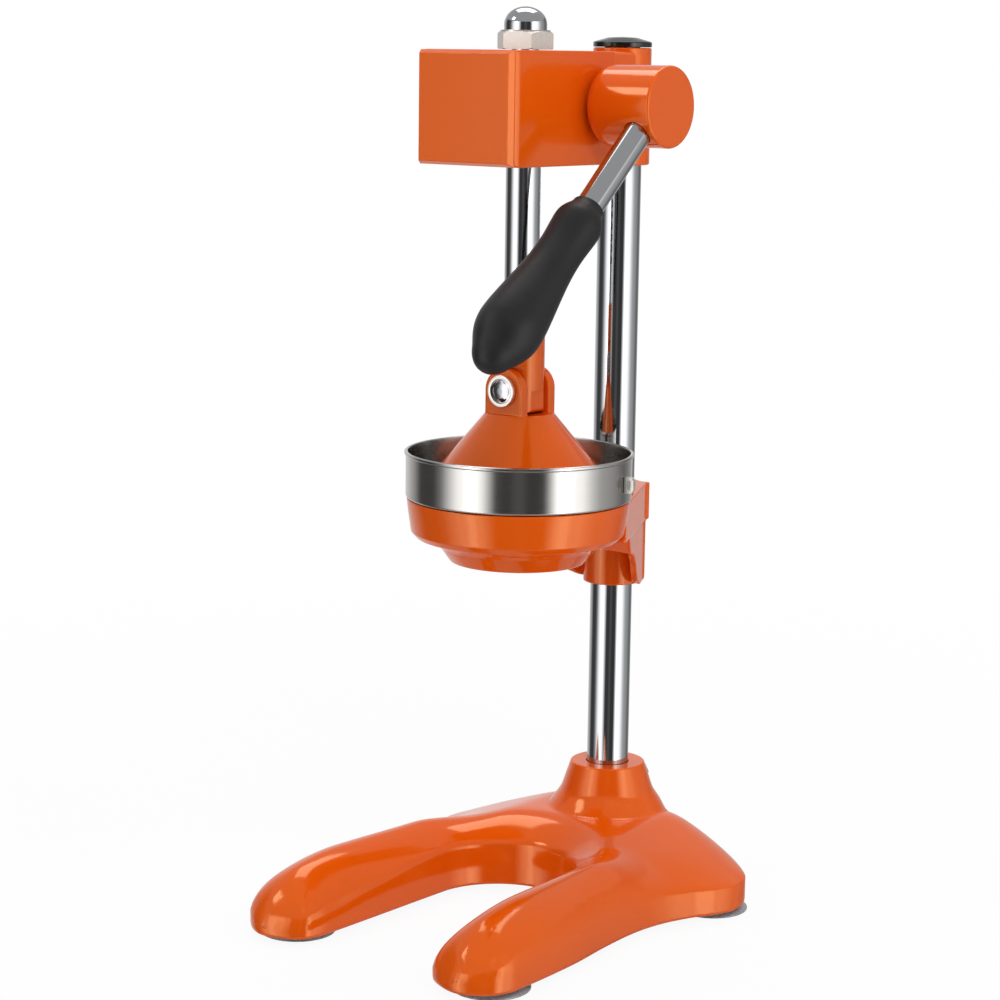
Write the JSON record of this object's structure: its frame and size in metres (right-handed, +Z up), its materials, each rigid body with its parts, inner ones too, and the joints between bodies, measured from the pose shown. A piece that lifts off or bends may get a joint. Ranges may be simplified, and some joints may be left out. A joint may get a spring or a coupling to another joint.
{
  "type": "lever citrus juice press",
  "caption": "Lever citrus press: cast U-base stand with column, juice funnel, strainer and reamer, and a rack-and-pinion head whose side lever lowers and lifts the pusher bell.",
  "frame": {"origin": "middle of the footprint on the table top", "axes": "+Z up, -Y to the front (open side of the U-shaped base, lever pointing forward), +X to the lever's side"},
  "size_m": [0.1976, 0.2492, 0.4778],
  "materials": {
    "orange_paint": "gloss",
    "column_chrome": "polished",
    "strainer_steel": "satin",
    "steel": "satin",
    "bronze": "satin",
    "reamer_alloy": "satin",
    "cap_plastic": "gloss",
    "grip_rubber": "satin",
    "foot_rubber": "satin"
  },
  "bodies": {
    "stand": {"base_casting": "orange_paint", "base_foot_front_right": "foot_rubber", "base_foot_front_left": "foot_rubber", "base_foot_rear_right": "foot_rubber", "base_foot_rear_left": "foot_rubber", "column": "column_chrome", "base_collar_bolt": "steel", "head_collar_bolt": "steel", "funnel_clamp_bolt": "steel", "funnel_casting": "orange_paint", "strainer_cup": "strainer_steel", "strainer_lug": "column_chrome", "reamer_cone": "reamer_alloy", "head_casting": "orange_paint", "head_front_cover": "orange_paint", "column_cap": "cap_plastic", "ram_bush_upper": "bronze", "ram_bush_lower": "bronze", "shaft_bush_right": "bronze", "shaft_bush_left": "bronze"},
    "lever": {"lever_hub": "orange_paint", "lever_rod": "column_chrome", "lever_grip": "grip_rubber", "hub_grub_screw": "steel", "pinion_shaft": "steel", "pinion_gear": "steel", "pinion_key": "steel", "shaft_washer": "steel", "shaft_retaining_ring": "steel"},
    "ram": {"ram_rack": "column_chrome", "ram_stop_nut": "column_chrome", "ram_socket": "orange_paint", "pivot_pin": "column_chrome", "pivot_pin_washer": "column_chrome", "pivot_pin_ring": "steel"},
    "bell": {"pusher_bell": "orange_paint"}
  },
  "joints": [
    {"name": "lever_turn", "type": "hinge", "parent": "stand", "child": "lever", "pos_m": [0, 0.0286, 0.4286], "axis": [-1, 0, 0], "range_deg": [0, 228.9]},
    {"name": "ram_slide", "type": "slide", "parent": "stand", "child": "ram", "axis": [0, 0, 1], "range_m": [0, 0.076]},
    {"name": "pusher_tilt", "type": "hinge", "parent": "ram", "child": "bell", "pos_m": [0, 0.0026, 0.2825], "axis": [0, 1, 0], "range_deg": [-4, 4]}
  ],
  "couplings": [
    {"joint": "ram_slide", "follows": "lever_turn", "m_per_rad": 0.019}
  ]
}
